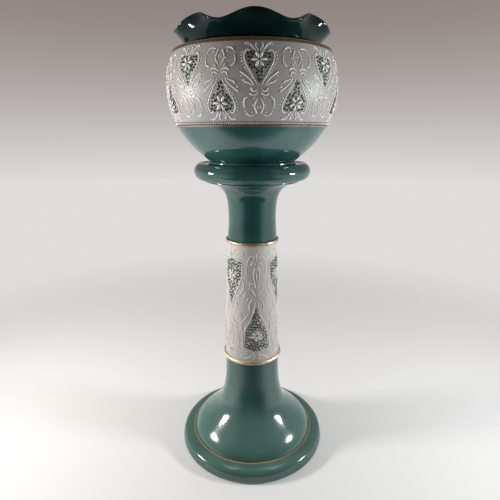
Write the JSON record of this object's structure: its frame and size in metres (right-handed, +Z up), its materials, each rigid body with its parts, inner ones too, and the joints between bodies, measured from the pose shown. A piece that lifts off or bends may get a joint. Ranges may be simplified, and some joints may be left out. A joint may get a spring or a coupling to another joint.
{
  "type": "jardiniere on stand",
  "caption": "Green-glazed earthenware jardiniere with a frilled rim and raised slip ornament, resting on a matching hollow column stand.",
  "frame": {"origin": "centre of the foot of the stand, on the floor", "axes": "+Z up along the column; -Y is the front, the side that the picture shows; +X to the right seen from the front"},
  "size_m": [0.3365, 0.3364, 0.9086],
  "materials": {
    "green_glaze": "deep glossy blue-green glaze",
    "grey_ground": "fine-grained satin slip ground",
    "gilding": "rubbed gilding over glaze",
    "bead_slip": "cream and gold tooled slip",
    "white_slip": "raised white slip under clear glaze",
    "dark_enamel": "raised dark green enamel",
    "orange_enamel": "raised orange enamel",
    "cream_enamel": "raised cream enamel"
  },
  "bodies": {
    "stand": {"stand_foot_flange": "green_glaze", "stand_foot_gilt_line": "gilding", "stand_foot_dome": "green_glaze", "stand_lower_gilt_ring": "gilding", "stand_drum": "grey_ground", "stand_upper_gilt_ring": "gilding", "stand_neck": "green_glaze", "stand_flange_step": "green_glaze", "stand_top_flange": "green_glaze", "stand_slip_trails": "white_slip", "stand_florets": "dark_enamel", "stand_blossom_petals": "white_slip", "stand_blossom_eyes": "orange_enamel"},
    "jardiniere": {"pot_foot_ring": "green_glaze", "pot_bowl": "green_glaze", "pot_lower_gilt_line": "gilding", "pot_lower_bead_row": "bead_slip", "pot_belly_band": "grey_ground", "pot_upper_bead_row": "bead_slip", "pot_upper_gilt_line": "gilding", "pot_collar": "green_glaze", "pot_frilled_rim": "green_glaze", "pot_slip_trails": "white_slip", "pot_leaf_buds": "cream_enamel", "pot_florets": "dark_enamel", "pot_blossom_petals": "white_slip", "pot_blossom_eyes": "orange_enamel"}
  },
  "joints": [
    {"name": "jardiniere_lift", "type": "slide", "parent": "stand", "child": "jardiniere", "axis": [0, 0, 1], "range_m": [0, 0.3]}
  ]
}
